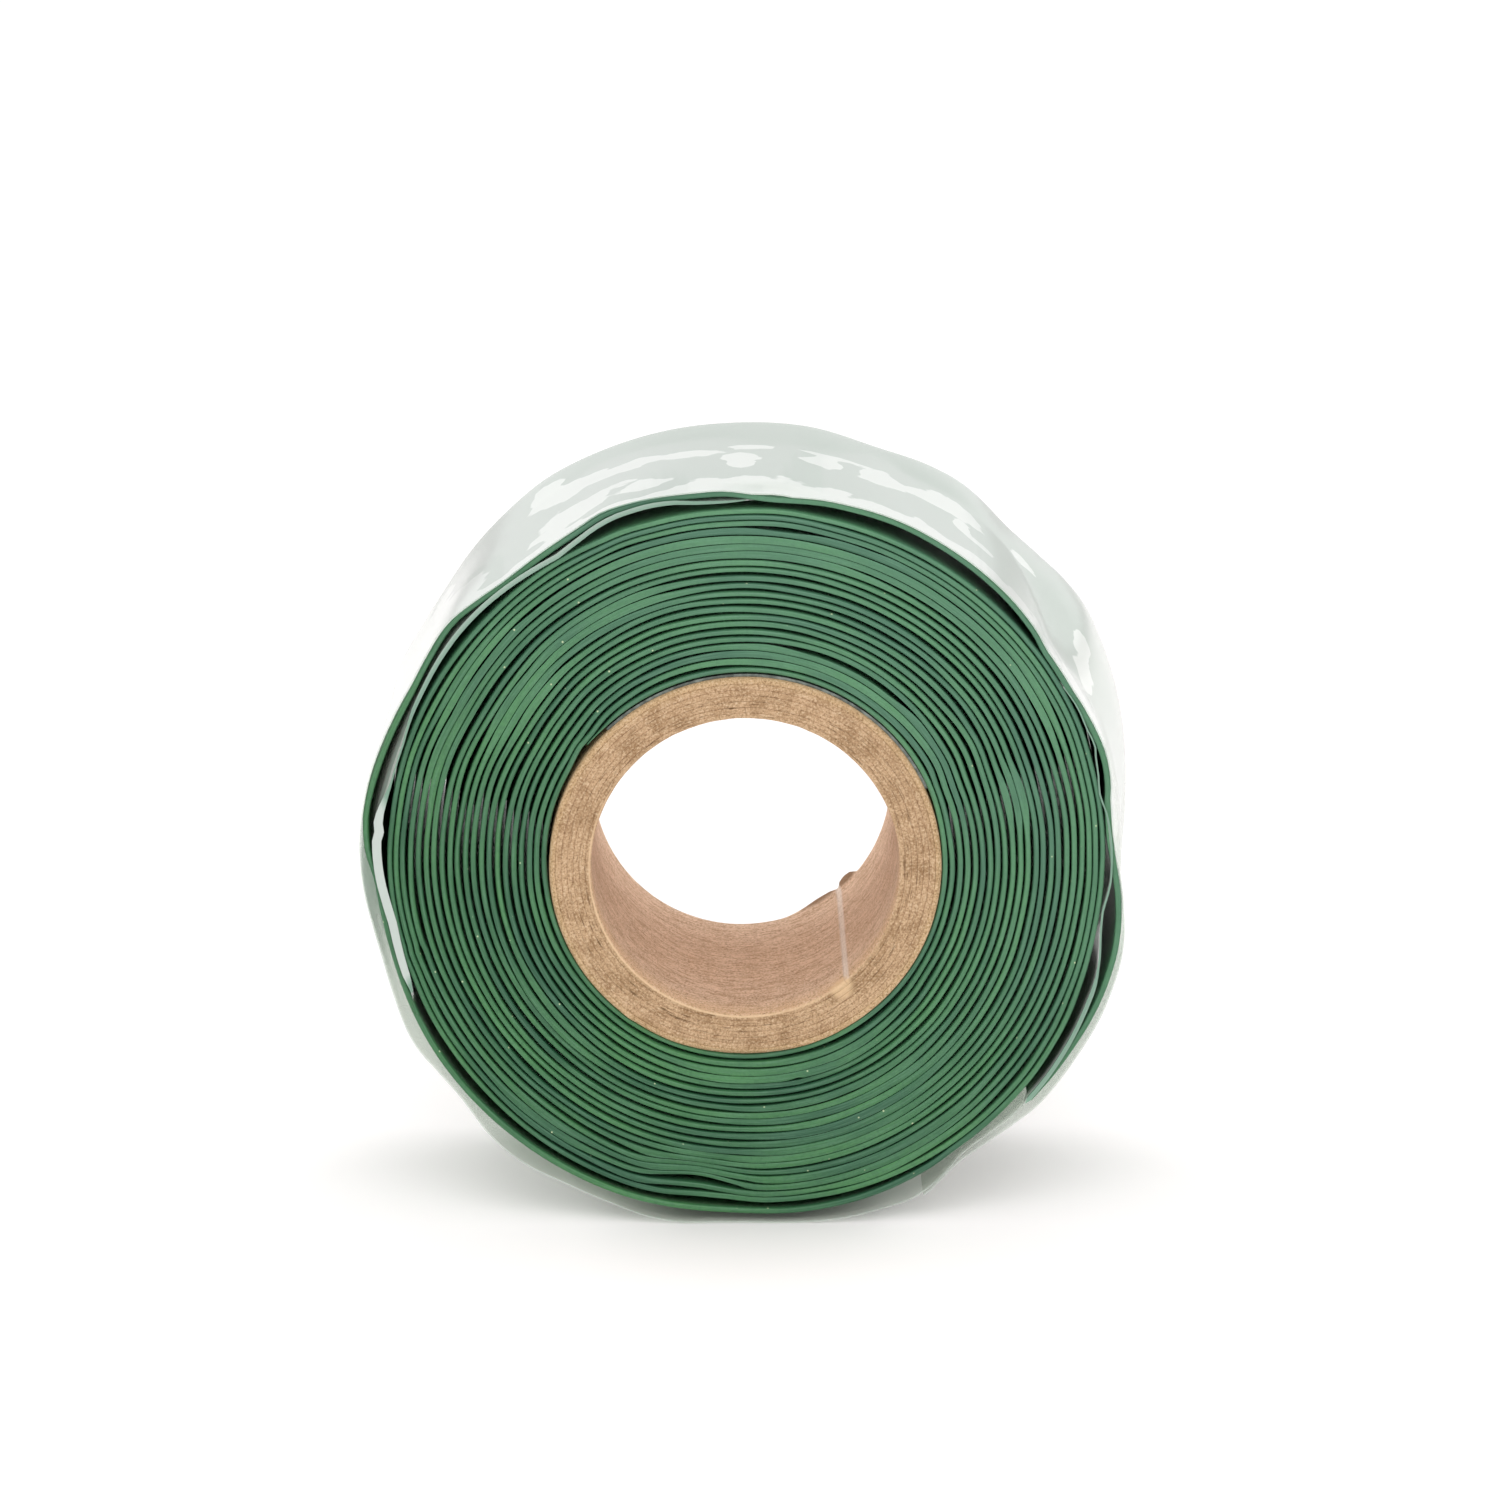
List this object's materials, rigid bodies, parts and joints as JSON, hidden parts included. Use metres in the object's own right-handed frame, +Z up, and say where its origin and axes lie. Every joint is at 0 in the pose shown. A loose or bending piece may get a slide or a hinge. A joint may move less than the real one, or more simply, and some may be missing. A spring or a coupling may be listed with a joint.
{
  "type": "roll of self-fusing tape",
  "caption": "Roll of green self-fusing silicone tape with a clear liner film, wound on a paper core with a plain round bore and standing on its rim.",
  "frame": {"origin": "on the surface the roll stands on, under the middle of the roll, half way between its front and back", "axes": "+Z up, Y along the roll's axis with -Y at the front, +X to the right seen from the front"},
  "size_m": [0.0648, 0.026, 0.0631],
  "materials": {
    "core_board": "uncoated kraft board, matt, with cut ends that show the plies and fibres",
    "strip": "thin grey-looking adhesive film strip",
    "silicone": "calendered green silicone rubber with a satin skin and knife-cut edges",
    "liner": "clear glossy polymer film, slightly wrinkled"
  },
  "bodies": {
    "root": {"core_ply_1": "core_board", "core_ply_2": "core_board", "core_ply_3": "core_board", "core_ply_4": "core_board", "core_ply_5": "core_board", "core_ply_6": "core_board", "core_ply_7": "core_board", "starter_strip": "strip", "tape": "silicone", "liner_film": "liner"}
  },
  "joints": []
}
